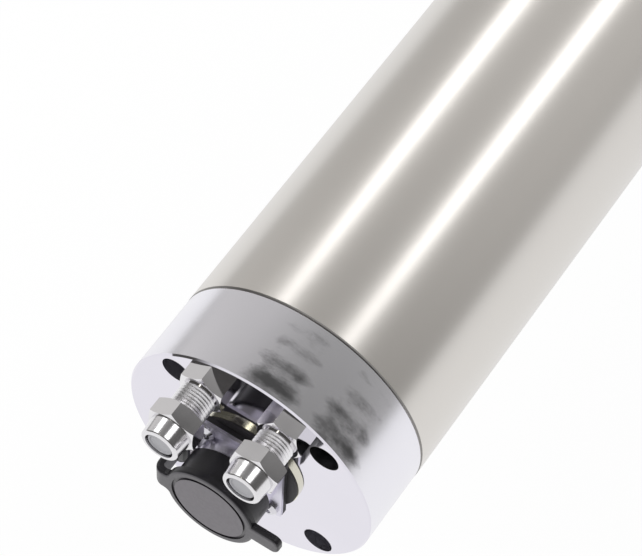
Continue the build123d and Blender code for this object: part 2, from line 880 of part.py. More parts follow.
# --- Dust cap --------------------------------------------------------------------------------
strap_outside = -hinge_offset - knuckle_diameter / 2
strap_inside = strap_outside + cap_plate
ear_end = strap_outside + ear_bend
with BuildPart() as dust_cap:
    with BuildSketch(behind(plate_bottom)) as cap_outline:
        Circle(cap_disc / 2)
        with Locations((ear_end / 2, 0)):
            Rectangle(-ear_end, strap_width)
        with Locations((tab_reach - tab_length / 2, 0)):
            RectangleRounded(tab_length, tab_width, tab_corner)
        ear_roots = cap_outline.vertices().sort_by(Axis.X)[2:4]
        fillet(ear_roots, ear_blend)
    extrude(amount=cap_plate)
    with BuildSketch(out_of_rear(0, strap_width / 2)):
        with BuildLine():
            CenterArc((ear_end, plate_top - ear_bend), ear_bend, 90, 90)
            Line((strap_outside, plate_top - ear_bend), (strap_outside, hinge_height))
            Line((strap_outside, hinge_height), (strap_inside, hinge_height))
            Line((strap_inside, hinge_height), (strap_inside, plate_top - ear_bend))
            CenterArc((ear_end, plate_top - ear_bend), ear_bend - cap_plate, 180, -90)
            Line((ear_end, plate_bottom), (ear_end, plate_top))
        make_face()
    extrude(amount=strap_width)
    top_face = dust_cap.faces().sort_by(Axis.Y)[0]
    top_edges = top_face.edges().filter_by_position(Axis.X, ear_end - 0.1, ear_end + 0.1)
    fillet([edge for edge in top_face.edges() if edge not in top_edges], cap_edge)
    turn(rectangle(cap_skirt_bore / 2, cap_skirt / 2, cap_back, plate_bottom), out_of_rear())
    turn(
        rectangle(
            (cap_groove - cap_groove_width) / 2,
            (cap_groove + cap_groove_width) / 2,
            plate_top - cap_groove_depth,
            plate_top + 1,
        ),
        out_of_rear(),
        Mode.SUBTRACT,
    )
    with BuildSketch(out_of_rear(0, strap_width / 2)):
        with Locations((-hinge_offset, hinge_height)):
            Circle(knuckle_diameter / 2)
    extrude(amount=strap_width)
    with BuildSketch(out_of_rear(0, strap_width / 2)):
        with Locations((-hinge_offset, hinge_height)):
            Circle(hinge_pin / 2 + turn_gap)
    extrude(amount=strap_width, mode=Mode.SUBTRACT)
finish(dust_cap.part, "dust_cap")

with BuildPart() as dust_cap_seal:
    turn(
        rectangle(0, cap_skirt_bore / 2 - fit_gap, plate_bottom - cap_seal_thickness, plate_bottom),
        out_of_rear(),
    )
finish(dust_cap_seal.part, "dust_cap_seal")

with BuildPart() as dust_cap_pin:
    pin_half = lug_inner + lug_width + free_gap
    with BuildSketch(out_of_rear(0, pin_half)):
        with Locations((-hinge_offset, hinge_height)):
            Circle(hinge_pin / 2)
    extrude(amount=2 * pin_half)
finish(dust_cap_pin.part, "dust_cap_pin")

# --- Coolant fittings ------------------------------------------------------------------------
def fitting_body(x, hex_turn):
    """Body of a coolant fitting screwed into the rear cover."""
    axis = out_of_rear(x, port_z)
    corner = fitting_hex / 3**0.5
    thread_base = fitting_hex_height + edge_break
    turns = [
        point
        for k in range(visible_turns)
        for point in (
            (fitting_root / 2, thread_base + k * fitting_pitch),
            (fitting_thread / 2, thread_base + (k + 0.5) * fitting_pitch),
        )
    ]
    with BuildPart() as body:
        with BuildSketch(behind(0, x, port_z)):
            RegularPolygon(fitting_hex / 2, 6, major_radius=False, rotation=hex_turn)
        extrude(amount=fitting_hex_height)
        turn(
            [
                (0, 0),
                (corner, 0),
                (corner, fitting_hex_height - hex_chamfer),
                (fitting_hex / 2, fitting_hex_height),
                (0, fitting_hex_height),
            ],
            axis,
            Mode.INTERSECT,
        )
        turn(rectangle(0, stem_diameter / 2, -stem_length, 0), axis)
        turn(
            [
                (0, 0),
                (fitting_root / 2, 0),
                *turns,
                (fitting_thread / 2, fitting_reach),
                (0, fitting_reach),
            ],
            axis,
        )
        turn(
            [
                (0, -stem_length),
                (fitting_bore / 2, -stem_length),
                (fitting_bore / 2, tube_stop),
                (tube_bore, tube_stop),
                (tube_bore, fitting_reach - mouth_depth),
                (mouth_diameter / 2, fitting_reach),
                (0, fitting_reach),
            ],
            axis,
            Mode.SUBTRACT,
        )
    return body.part


def compression_nut(x, height, hex_turn):
    """Compression nut whose back face is at a height over the rear face."""
    axis = out_of_rear(x, port_z)
    corner = hex_nut / 3**0.5
    nut_end = height + hex_nut_length + nut_tail
    thread_bore = fitting_thread / 2 + turn_gap
    cone_length = (thread_bore - nut_bore / 2) / ferrule_slope
    with BuildPart() as nut:
        with BuildSketch(behind(height, x, port_z)):
            RegularPolygon(hex_nut / 2, 6, major_radius=False, rotation=hex_turn)
        extrude(amount=hex_nut_length)
        turn(
            [
                (0, height),
                (hex_nut / 2, height),
                (corner, height + hex_chamfer),
                (corner, height + hex_nut_length - hex_chamfer),
                (hex_nut / 2, height + hex_nut_length),
                (0, height + hex_nut_length),
            ],
            axis,
            Mode.INTERSECT,
        )
        turn(
            [
                (0, height),
                (nut_tail_root / 2, height),
                (nut_tail_root / 2, height + hex_nut_length),
                (nut_tail_tip / 2, nut_end),
                (0, nut_end),
            ],
            axis,
        )
        tail_face = nut.faces().sort_by(Axis.Y)[0]
        fillet(tail_face.edges(), nut_tail_round)
        turn(
            [
                (0, height),
                (thread_bore, height),
                (thread_bore, height + nut_thread_depth),
                (nut_bore / 2, height + nut_thread_depth + cone_length),
                (nut_bore / 2, nut_end),
                (0, nut_end),
            ],
            axis,
            Mode.SUBTRACT,
        )
    return nut.part


def ferrule(x, height):
    """Clamping ring inside a compression nut."""
    bore = plug_diameter / 2 + turn_gap
    crest = ferrule_crest / 2
    seat = fitting_thread / 2 + turn_gap + nut_thread_depth * ferrule_slope - turn_gap
    with BuildPart() as ring:
        turn(
            [
                (bore, height + ferrule_start),
                (ferrule_tail / 2, height + ferrule_start),
                (crest - 2 * slip_gap, height + ferrule_crest_start),
                (crest, height + ferrule_crest_start),
                (crest, height + (seat - crest) / ferrule_slope),
                (seat - ferrule_end * ferrule_slope, height + ferrule_end),
                (bore, height + ferrule_end),
            ],
            out_of_rear(x, port_z),
        )
    return ring.part


def port_plug(x, height):
    """Protective plug clamped in a fitting in place of the tube."""
    top = height + hex_nut_length + nut_tail - plug_recess
    radius = plug_diameter / 2
    with BuildPart() as plug:
        turn(
            [
                (0, tube_stop + free_gap),
                (radius - plug_bevel, tube_stop + free_gap),
                (radius, tube_stop + free_gap + plug_bevel),
                (radius, top - plug_bevel),
                (radius - plug_bevel, top),
                (plug_groove / 2, top),
                (plug_groove / 2 - plug_bevel, top - plug_bevel),
                (0, top - plug_bevel),
            ],
            out_of_rear(x, port_z),
        )
    return plug.part


sides = [
    ("left", -port_x, left_hex_turn, left_nut_height, left_nut_turn),
    ("right", port_x, right_hex_turn, right_nut_height, right_nut_turn),
]
for side, x, hex_turn, nut_height, nut_turn in sides:
    finish(fitting_body(x, hex_turn), f"{side}_fitting_body")
    finish(compression_nut(x, nut_height, nut_turn), f"{side}_compression_nut")
    finish(ferrule(x, nut_height), f"{side}_ferrule")
    finish(port_plug(x, nut_height), f"{side}_port_plug")

with BuildPart() as port_seals:
    for x, z in port_places:
        axis = out_of_rear(x, z)
        with BuildSketch(axis) as wire:
            with Locations(((stem_diameter + port_seal_wire) / 2, -port_seal_wire / 2)):
                Circle(port_seal_wire / 2 - turn_gap)
        revolve(wire.sketch, axis=Axis(axis.origin, axis.y_dir))
finish(port_seals.part, "port_seals")
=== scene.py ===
"""Dresses the motor spindle in its finishes and sets the studio round it.

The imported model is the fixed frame: +Y runs along the spindle axis towards the collet nose,
+Z is up between the two coolant fittings, and every length is in metres.
"""

from __future__ import annotations

import logging
import math
from dataclasses import dataclass, field
from enum import Enum

import bpy
from mathutils import Matrix, Vector


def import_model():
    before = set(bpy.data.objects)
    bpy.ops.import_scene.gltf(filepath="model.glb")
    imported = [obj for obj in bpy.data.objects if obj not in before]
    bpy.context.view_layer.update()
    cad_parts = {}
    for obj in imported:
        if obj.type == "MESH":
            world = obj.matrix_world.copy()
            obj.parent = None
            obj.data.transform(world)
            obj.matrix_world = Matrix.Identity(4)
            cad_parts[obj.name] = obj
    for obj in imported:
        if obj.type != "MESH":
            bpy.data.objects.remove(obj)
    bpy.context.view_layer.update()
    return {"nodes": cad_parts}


LOG = logging.getLogger("spindle")
REAR_FACE_PLACE = -0.131
BEVEL_SLOPES = (0.2, 0.95)
NOISE_SPAN = (0.3, 0.7)
QUARTER_TURN = 0.25
WAVE_RATE = 10
Colour = tuple[float, float, float]


class Streak(Enum):
    """How the marks of a finish lie on its piece."""

    ROUND = (14.0, 620.0, 14.0)
    LONG = (260.0, 14.0, 260.0)
    EVEN = (160.0, 160.0, 160.0)


def is_sloped(polygon: bpy.types.MeshPolygon) -> bool:
    """Whether a face lies between a flat end and a straight side."""
    return BEVEL_SLOPES[0] < abs(polygon.normal.y) < BEVEL_SLOPES[1]


def add_node(tree: bpy.types.NodeTree, kind: str, **inputs: object) -> bpy.types.Node:
    """Add a node and set inputs by socket name.

    Args:
        tree: The node tree that gets the node.
        kind: The node's Blender type name.
        **inputs: Socket names, with underscores for spaces, and their constant values.

    Returns:
        The new node.
    """
    node = tree.nodes.new(kind)
    for name, value in inputs.items():
        node.inputs[name.replace("_", " ")].default_value = value
    return node


def blank_material(name: str) -> tuple[bpy.types.Material, bpy.types.Node]:
    """Make a material that holds one Principled shader.

    Args:
        name: The material's name.

    Returns:
        The material and its shader node.
    """
    material = bpy.data.materials.new(name)
    material.use_nodes = True
    shader = material.node_tree.nodes["Principled BSDF"]
    return material, shader


def streaked_noise(
    tree: bpy.types.NodeTree, streak: Streak, grain: float, detail: float = 4.0
) -> bpy.types.NodeSocket:
    """Noise stretched along the marks of a finish.

    Args:
        tree: The node tree that gets the nodes.
        streak: The way the marks lie.
        grain: Scale of the marks; larger is finer.
        detail: Octaves of the noise.

    Returns:
        The socket that carries the noise, from 0 to 1.
    """
    place = tree.nodes.new("ShaderNodeTexCoord")
    stretch = tree.nodes.new("ShaderNodeMapping")
    stretch.inputs["Scale"].default_value = streak.value
    noise = add_node(tree, "ShaderNodeTexNoise", Scale=grain, Detail=detail)
    tree.links.new(place.outputs["Object"], stretch.inputs["Vector"])
    tree.links.new(stretch.outputs["Vector"], noise.inputs["Vector"])
    return noise.outputs["Fac"]


def maths(
    tree: bpy.types.NodeTree,
    operation: str,
    first: bpy.types.NodeSocket,
    second: bpy.types.NodeSocket | float = 0.0,
) -> bpy.types.NodeSocket:
    """Work out one operation on two values.

    Args:
        tree: The node tree that gets the node.
        operation: The Math node's operation.
        first: The socket that carries the first value.
        second: The second value, or the socket that carries it.

    Returns:
        The socket that carries the result.
    """
    node = tree.nodes.new("ShaderNodeMath")
    node.operation = operation
    tree.links.new(first, node.inputs[0])
    if isinstance(second, bpy.types.NodeSocket):
        tree.links.new(second, node.inputs[1])
    else:
        node.inputs[1].default_value = second
    return node.outputs["Value"]


def spread(
    tree: bpy.types.NodeTree, source: bpy.types.NodeSocket, low: float, high: float
) -> bpy.types.NodeSocket:
    """Map noise to a range of values.

    Args:
        tree: The node tree that gets the node.
        source: Noise that mostly lies within NOISE_SPAN.
        low: The value for dark noise.
        high: The value for bright noise.

    Returns:
        The socket that carries the mapped value.
    """
    ranged = tree.nodes.new("ShaderNodeMapRange")
    ranged.inputs["From Min"].default_value = NOISE_SPAN[0]
    ranged.inputs["From Max"].default_value = NOISE_SPAN[1]
    ranged.inputs["To Min"].default_value = low
    ranged.inputs["To Max"].default_value = high
    tree.links.new(source, ranged.inputs["Value"])
    return ranged.outputs["Result"]


def tinted(
    tree: bpy.types.NodeTree,
    factor: bpy.types.NodeSocket,
    one: bpy.types.NodeSocket | Colour,
    two: bpy.types.NodeSocket | Colour,
) -> bpy.types.NodeSocket:
    """Blend two colours by a factor.

    Args:
        tree: The node tree that gets the node.
        factor: 0 for the first colour and 1 for the second.
        one: The first colour, or the socket that carries it.
        two: The second colour, or the socket that carries it.

    Returns:
        The socket that carries the colour.
    """
    mix = tree.nodes.new("ShaderNodeMix")
    mix.data_type = "RGBA"
    for side, colour in (("A", one), ("B", two)):
        if isinstance(colour, bpy.types.NodeSocket):
            tree.links.new(colour, mix.inputs[side])
        else:
            mix.inputs[side].default_value = (*colour, 1.0)
    tree.links.new(factor, mix.inputs["Factor"])
    return mix.outputs["Result"]


def raise_marks(
    tree: bpy.types.NodeTree,
    shader: bpy.types.Node,
    height: bpy.types.NodeSocket,
    strength: float,
    depth: float,
) -> None:
    """Give a shader a bump.

    Args:
        tree: The shader's node tree.
        shader: The Principled shader.
        height: The socket that carries the height.
        strength: The bump's strength.
        depth: The bump's depth in metres.
    """
    bump = add_node(tree, "ShaderNodeBump", Strength=strength, Distance=depth)
    tree.links.new(height, bump.inputs["Height"])
    tree.links.new(bump.outputs["Normal"], shader.inputs["Normal"])


@dataclass(frozen=True)
class MetalFinish:
    """A bare or plated metal with the marks of how it was made."""

    name: str
    colour: Colour
    roughness: float
    wander: float = 0.04
    shade: float = 0.92
    streak: Streak = Streak.EVEN
    grain: float = 1.0
    anisotropy: float = 0.0
    mark_strength: float = 0.1
    mark_depth: float = 0.00002

    def material(self) -> bpy.types.Material:
        """Build the finish from nodes.

        Returns:
            The new material.
        """
        material, shader = blank_material(self.name)
        tree = material.node_tree
        marks = streaked_noise(tree, self.streak, self.grain)
        darker = tuple(channel * self.shade for channel in self.colour)
        tree.links.new(tinted(tree, marks, darker, self.colour), shader.inputs["Base Color"])
        rough = spread(tree, marks, self.roughness - self.wander, self.roughness + self.wander)
        tree.links.new(rough, shader.inputs["Roughness"])
        shader.inputs["Metallic"].default_value = 1.0
        if self.anisotropy:
            tangent = tree.nodes.new("ShaderNodeTangent")
            tangent.direction_type = "RADIAL"
            tangent.axis = "Y"
            tree.links.new(tangent.outputs["Tangent"], shader.inputs["Tangent"])
            shader.inputs["Anisotropic"].default_value = self.anisotropy
            shader.inputs["Anisotropic Rotation"].default_value = QUARTER_TURN
        if self.mark_strength:
            raise_marks(tree, shader, marks, self.mark_strength, self.mark_depth)
        return material


@dataclass(frozen=True)
class PlasticFinish:
    """A moulded plastic or rubber with a fine grain."""

    name: str
    colour: Colour
    roughness: float
    wander: float = 0.05
    shade: float = 0.85
    grain: float = 6.0
    detail: float = 6.0
    ior: float = 1.5
    mark_strength: float = 0.15
    mark_depth: float = 0.00003

    def material(self) -> bpy.types.Material:
        """Build the finish from nodes.

        Returns:
            The new material.
        """
        material, shader = blank_material(self.name)
        tree = material.node_tree
        marks = streaked_noise(tree, Streak.EVEN, self.grain, self.detail)
        darker = tuple(channel * self.shade for channel in self.colour)
        tree.links.new(tinted(tree, marks, darker, self.colour), shader.inputs["Base Color"])
        rough = spread(tree, marks, self.roughness - self.wander, self.roughness + self.wander)
        tree.links.new(rough, shader.inputs["Roughness"])
        shader.inputs["IOR"].default_value = self.ior
        raise_marks(tree, shader, marks, self.mark_strength, self.mark_depth)
        return material


@dataclass(frozen=True)
class ClumpFinish:
    """Varnished copper wire wound side by side, with painted shade in the gaps between the wires.
    """

    name: str
    copper: Colour
    # Painted shade in the grooves between the wires.
    gap_shade: Colour
    wire: float
    unevenness: float = 1.5
    metallic: float = 0.7
    roughness: float = 0.35
    mark_strength: float = 0.5
    mark_depth: float = 0.0002

    def material(self) -> bpy.types.Material:
        """Build the finish from nodes.

        Returns:
            The new material.
        """
        material, shader = blank_material(self.name)
        tree = material.node_tree
        place = tree.nodes.new("ShaderNodeTexCoord")
        scale = math.pi / WAVE_RATE / self.wire
        wires = add_node(tree, "ShaderNodeTexWave", Scale=scale, Distortion=self.unevenness)
        wires.bands_direction = "DIAGONAL"
        tree.links.new(place.outputs["Object"], wires.inputs["Vector"])
        tree.links.new(
            tinted(tree, wires.outputs["Fac"], self.gap_shade, self.copper), shader.inputs["Base Color"]
        )
        shader.inputs["Metallic"].default_value = self.metallic
        shader.inputs["Roughness"].default_value = self.roughness
        raise_marks(tree, shader, wires.outputs["Fac"], self.mark_strength, self.mark_depth)
        return material


@dataclass(frozen=True)
class CloudedShadedFinish:
    """Polished plate over turned metal, with painted shade darkening one side and dark patches
    there, partly dull marks, partly painted dark reflection.

    A side is given by the bearing of its middle and its half width, in degrees.
    """

    name: str
    bright: Colour
    cloud_and_dark_reflection: Colour
    roughness: float
    radius: float
    painted_shade: Colour
    wander: float = 0.01
    painted_shade_side: tuple[float, float] = (67.0, 36.0)
    cloud_and_reflection_sides: tuple[tuple[float, float], ...] = ((50.0, 21.0), (83.0, 20.0))
    patch_length: float = 0.013
    patch_width: float = 0.0060
    patch_detail: float = 9.0
    patch_grain: float = 0.70
    patch_edges: tuple[float, float] = (0.86, 1.32)
    cover: float = 0.52
    side_core: float = 0.3
    rim: float = REAR_FACE_PLACE
    rim_cover: float = 0.30
    rim_lift: float = 0.6
    first_row: float = 0.0038
    row: float = 0.0062
    row_cover: float = 0.09
    depth: float = 0.02
    streak_grain: float = 0.3
    streak_detail: float = 2.0

    def near_bearing(
        self, tree: bpy.types.NodeTree, bearing: bpy.types.NodeSocket, side: tuple[float, float]
    ) -> bpy.types.NodeSocket:
        """How near a point lies to one side of the piece.

        Args:
            tree: The node tree that gets the nodes.
            bearing: The point's bearing round the axis, in radians.
            side: The middle of that side and its half width, in degrees.

        Returns:
            A socket that is 1 at the middle of the side and 0 away from it.
        """
        middle, half = side
        away = maths(tree, "SUBTRACT", bearing, math.radians(middle))
        away = maths(tree, "ABSOLUTE", away)
        near = tree.nodes.new("ShaderNodeMapRange")
        near.interpolation_type = "SMOOTHSTEP"
        near.inputs["From Min"].default_value = math.radians(half)
        near.inputs["From Max"].default_value = math.radians(half) * self.side_core
        tree.links.new(away, near.inputs["Value"])
        return near.outputs["Result"]

    def rows(self, tree: bpy.types.NodeTree, along: bpy.types.NodeSocket) -> bpy.types.NodeSocket:
        """How the dark patches lie in rows round the axis, most of them near the rim; they are
        partly dull marks, partly painted dark reflection.

        Args:
            tree: The node tree that gets the nodes.
            along: The place along the axis, in metres.

        Returns:
            The socket that carries what the rows add to the patches.
        """
        past_rim = maths(tree, "SUBTRACT", along, self.rim)
        wave = maths(tree, "SUBTRACT", past_rim, self.first_row)
        wave = maths(tree, "MULTIPLY", wave, math.tau / self.row)
        wave = maths(tree, "MULTIPLY", maths(tree, "COSINE", wave), self.row_cover)
        fade = maths(tree, "DIVIDE", past_rim, -self.depth)
        fade = maths(tree, "MULTIPLY", maths(tree, "ADD", fade, self.rim_lift), self.rim_cover)
        return maths(tree, "ADD", wave, fade)

    def material(self) -> bpy.types.Material:
        """Build the finish from nodes.

        Returns:
            The new material.
        """
        material, shader = blank_material(self.name)
        tree = material.node_tree
        place = tree.nodes.new("ShaderNodeTexCoord")
        split = tree.nodes.new("ShaderNodeSeparateXYZ")
        tree.links.new(place.outputs["Object"], split.inputs["Vector"])
        bearing = maths(tree, "ARCTAN2", split.outputs["Z"], split.outputs["X"])
        unrolled = tree.nodes.new("ShaderNodeCombineXYZ")
        around = maths(tree, "MULTIPLY", bearing, self.radius / self.patch_length)
        along = maths(tree, "MULTIPLY", split.outputs["Y"], 1 / self.patch_width)
        tree.links.new(around, unrolled.inputs["X"])
        tree.links.new(along, unrolled.inputs["Y"])
        fineness = {"Detail": self.patch_detail, "Roughness": self.patch_grain}
        patches = add_node(tree, "ShaderNodeTexNoise", Scale=1.0, **fineness)
        tree.links.new(unrolled.outputs["Vector"], patches.inputs["Vector"])
        # Dark patches, strongest on two sides: partly dull marks, partly painted dark reflection.
        first, second = (self.near_bearing(tree, bearing, side) for side in self.cloud_and_reflection_sides)
        level = maths(tree, "MULTIPLY", maths(tree, "MAXIMUM", first, second), self.cover)
        level = maths(tree, "ADD", level, patches.outputs["Fac"])
        level = maths(tree, "ADD", level, self.rows(tree, split.outputs["Y"]))
        ranged = tree.nodes.new("ShaderNodeMapRange")
        ranged.interpolation_type = "SMOOTHSTEP"
        ranged.inputs["From Min"].default_value = self.patch_edges[0]
        ranged.inputs["From Max"].default_value = self.patch_edges[1]
        tree.links.new(level, ranged.inputs["Value"])
        # Painted shade: the plate colour darkens towards one side of the cover.
        painted_shade = self.near_bearing(tree, bearing, self.painted_shade_side)
        plate = tinted(tree, painted_shade, self.bright, self.painted_shade)
        tree.links.new(
            tinted(tree, ranged.outputs["Result"], plate, self.cloud_and_dark_reflection),
            shader.inputs["Base Color"],
        )
        streaks = streaked_noise(tree, Streak.ROUND, self.streak_grain, self.streak_detail)
        rough = spread(tree, streaks, self.roughness - self.wander, self.roughness + self.wander)
        tree.links.new(rough, shader.inputs["Roughness"])
        shader.inputs["Metallic"].default_value = 1.0
        return material


Finish = MetalFinish | PlasticFinish | ClumpFinish | CloudedShadedFinish


@dataclass
class Assembly:
    """A group of CAD nodes that are dressed together."""

    nodes: dict[str, bpy.types.Object]
    finishes: dict[str, Finish] = field(default_factory=dict)
    made: dict[str, bpy.types.Material] = field(default_factory=dict)

    def coat(self, names: tuple[str, ...], finish: Finish) -> None:
        """Give CAD nodes a finish.

        Args:
            names: The CAD nodes.
            finish: The finish that covers each whole node.
        """
        if finish.name not in self.made:
            self.made[finish.name] = finish.material()
        for name in names:
            mesh = self.nodes[name].data
            mesh.materials.clear()
            mesh.materials.append(self.made[finish.name])
            LOG.info("%s is finished in %s", name, finish.name)

    def dress(self) -> None:
        """Dress every node of the group."""
        for name, finish in self.finishes.items():
            self.coat((name,), finish)


GROUND_STEEL = MetalFinish(
    "ground_steel",
    colour=(0.70, 0.675, 0.645),
    roughness=0.30,
    wander=0.006,
    shade=0.985,
    streak=Streak.ROUND,
    grain=1.0,
    anisotropy=0.55,
    mark_strength=0.0,
)
# Rear cover: painted shade on one side, and dark patches that are partly dull marks, partly
# painted dark reflection.
SHADED_CLOUDED_NICKEL = CloudedShadedFinish(
    "shaded_clouded_nickel",
    bright=(0.84, 0.83, 0.88),
    cloud_and_dark_reflection=(0.15, 0.15, 0.155),
    painted_shade=(0.66, 0.66, 0.69),
    roughness=0.26,
    radius=0.04,
)
POLISHED_NICKEL = MetalFinish(
    "polished_nickel",
    colour=(0.84, 0.83, 0.87),
    roughness=0.2,
    wander=0.02,
    shade=0.97,
    streak=Streak.ROUND,
    mark_strength=0.05,
)
REAR_FACE_NICKEL = MetalFinish(
    "rear_face",
    colour=(0.78, 0.76, 0.83),
    roughness=0.07,
    wander=0.03,
    shade=0.95,
    grain=0.3,
    mark_strength=0.015,
)
# Dark steel for the sleeve's end bevels: painted shade in the seams.
SEAM_SHADE_STEEL = MetalFinish(
    "seam_shade_steel", colour=(0.30, 0.29, 0.28), roughness=0.4, streak=Streak.ROUND
)
MIRROR_NICKEL = MetalFinish(
    "mirror_nickel",
    colour=(0.80, 0.79, 0.81),
    roughness=0.10,
    wander=0.03,
    shade=0.96,
    mark_strength=0.02,
)
THREAD_NICKEL = MetalFinish(
    "thread_nickel", colour=(0.88, 0.87, 0.89), roughness=0.34, shade=0.9, mark_strength=0.02
)
TAIL_NICKEL = MetalFinish(
    "tail_nickel", colour=(0.80, 0.79, 0.81), roughness=0.19, wander=0.02, mark_strength=0.02
)
DARK_STEEL = MetalFinish("dark_steel", colour=(0.24, 0.24, 0.26), roughness=0.24, shade=0.7)
BLACK_STEEL = MetalFinish("black_steel", colour=(0.03, 0.03, 0.035), roughness=0.35, shade=0.7)
BRIGHT_STEEL = MetalFinish("bright_steel", colour=(0.72, 0.71, 0.75), roughness=0.2)
SATIN_STEEL = MetalFinish(
    "satin_steel", colour=(0.62, 0.61, 0.60), roughness=0.28, streak=Streak.ROUND, anisotropy=0.4
)
BEARING_STEEL = MetalFinish("bearing_steel", colour=(0.75, 0.75, 0.76), roughness=0.12)
SHEET_STACK = MetalFinish(
    "sheet_stack",
    colour=(0.30, 0.30, 0.31),
    roughness=0.5,
    shade=0.6,
    streak=Streak.ROUND,
    grain=3.0,
    mark_strength=0.4,
)
TURNED_ALUMINIUM = MetalFinish(
    "turned_aluminium",
    colour=(0.72, 0.73, 0.74),
    roughness=0.35,
    streak=Streak.ROUND,
    anisotropy=0.4,
)
CONNECTOR_METAL = MetalFinish(
    "connector_metal", colour=(0.76, 0.74, 0.83), roughness=0.33, streak=Streak.ROUND
)
PLATED_BRASS = MetalFinish("plated_brass", colour=(0.72, 0.58, 0.26), roughness=0.22)
YELLOW_RING = MetalFinish(
    "yellow_ring", colour=(0.88, 0.87, 0.70), roughness=0.18, streak=Streak.LONG, grain=0.4
)
# The second colour is painted shade between the wires.
COPPER_WIRE = ClumpFinish("copper_wire", (0.62, 0.27, 0.12), (0.16, 0.05, 0.02), wire=0.0009)
BLACK_RUBBER = PlasticFinish("black_rubber", colour=(0.017, 0.015, 0.018), roughness=0.55)
CAP_PLASTIC = PlasticFinish(
    "cap_plastic", colour=(0.010, 0.009, 0.012), roughness=0.36, shade=0.9, ior=1.45
)
# Lighter, glossier copies of the cap plastic for its disc and rim: painted light on the faces
# turned to -Y.
CAP_LIT_FACE = PlasticFinish(
    "cap_lit_face", colour=(0.052, 0.040, 0.056), roughness=0.34, shade=0.9, ior=1.9
)
CAP_LIT_RIM = PlasticFinish(
    "cap_lit_rim", colour=(0.030, 0.025, 0.034), roughness=0.36, shade=0.9, ior=1.75
)
INSERT_PLASTIC = PlasticFinish("insert_plastic", colour=(0.03, 0.03, 0.032), roughness=0.45)
CAGE_PLASTIC = PlasticFinish("cage_plastic", colour=(0.60, 0.47, 0.26), roughness=0.5)
PALE_PLASTIC = PlasticFinish("pale_plastic", colour=(0.37, 0.37, 0.39), roughness=0.32)


@dataclass
class Body(Assembly):
    """Sleeve, covers and their screws."""

    finishes: dict[str, Finish] = field(
        default_factory=lambda: {
            "housing_sleeve": GROUND_STEEL,
            "rear_cap": SHADED_CLOUDED_NICKEL,
            "rear_cap_screws": DARK_STEEL,
            "front_flange": POLISHED_NICKEL,
            "front_flange_screws": BLACK_STEEL,
            "front_cap": SATIN_STEEL,
            "front_cap_screws": BLACK_STEEL,
        }
    )
    rear_face: float = REAR_FACE_PLACE
    face_depth: float = 0.0012
    face_slope: float = 0.5

    def shade_sleeve_edges(self) -> None:
        """Give the narrow bevels at the sleeve's ends a dark, duller steel: painted shade in the
        seams.
        """
        sleeve = self.nodes["housing_sleeve"]
        sleeve.data.materials.append(SEAM_SHADE_STEEL.material())
        for polygon in sleeve.data.polygons:
            if is_sloped(polygon):
                polygon.material_index = 1

    def polish_rear_face(self) -> None:
        """Give the flat end of the rear cover, and the edge round it, a mirror polish."""
        cover = self.nodes["rear_cap"]
        cover.data.materials.append(REAR_FACE_NICKEL.material())
        for polygon in cover.data.polygons:
            on_face = abs(polygon.center.y - self.rear_face) < self.face_depth
            if on_face and polygon.normal.y < -self.face_slope:
                polygon.material_index = 1

    def dress(self) -> None:
        """Dress the body and polish its rear face."""
        super().dress()
        self.shade_sleeve_edges()
        self.polish_rear_face()


@dataclass
class DriveLine(Assembly):
    """Shaft, rotor, bearings, stator and jacket."""

    finishes: dict[str, Finish] = field(
        default_factory=lambda: {
            "shaft": SATIN_STEEL,
            "rotor_core": SHEET_STACK,
            "rotor_cage": TURNED_ALUMINIUM,
            "bearing_locknut": BLACK_STEEL,
            "stator_core": SHEET_STACK,
            "stator_windings": COPPER_WIRE,
            "water_jacket": TURNED_ALUMINIUM,
            "jacket_seals": BLACK_RUBBER,
            "rear_bearing_plate": TURNED_ALUMINIUM,
            "preload_spring": BRIGHT_STEEL,
            "rear_bearing_outer_ring": BEARING_STEEL,
            "rear_bearing_inner_ring": BEARING_STEEL,
            "rear_bearing_cage": CAGE_PLASTIC,
            "rear_bearing_balls": BEARING_STEEL,
            "front_bearing_outer_rings": BEARING_STEEL,
            "front_bearing_inner_rings": BEARING_STEEL,
            "front_bearing_cages": CAGE_PLASTIC,
            "front_bearing_balls": BEARING_STEEL,
        }
    )


@dataclass
class ToolHolder(Assembly):
    """Collet and its nut."""

    finishes: dict[str, Finish] = field(
        default_factory=lambda: {"collet": BRIGHT_STEEL, "collet_nut": SATIN_STEEL}
    )


@dataclass
class Connector(Assembly):
    """Power connector with its ring and gasket."""

    finishes: dict[str, Finish] = field(
        default_factory=lambda: {
            "connector_ring": YELLOW_RING,
            "connector_gasket": BLACK_RUBBER,
            "connector_shell": CONNECTOR_METAL,
            "connector_insert": INSERT_PLASTIC,
            "connector_pins": PLATED_BRASS,
            "connector_screws": BRIGHT_STEEL,
        }
    )


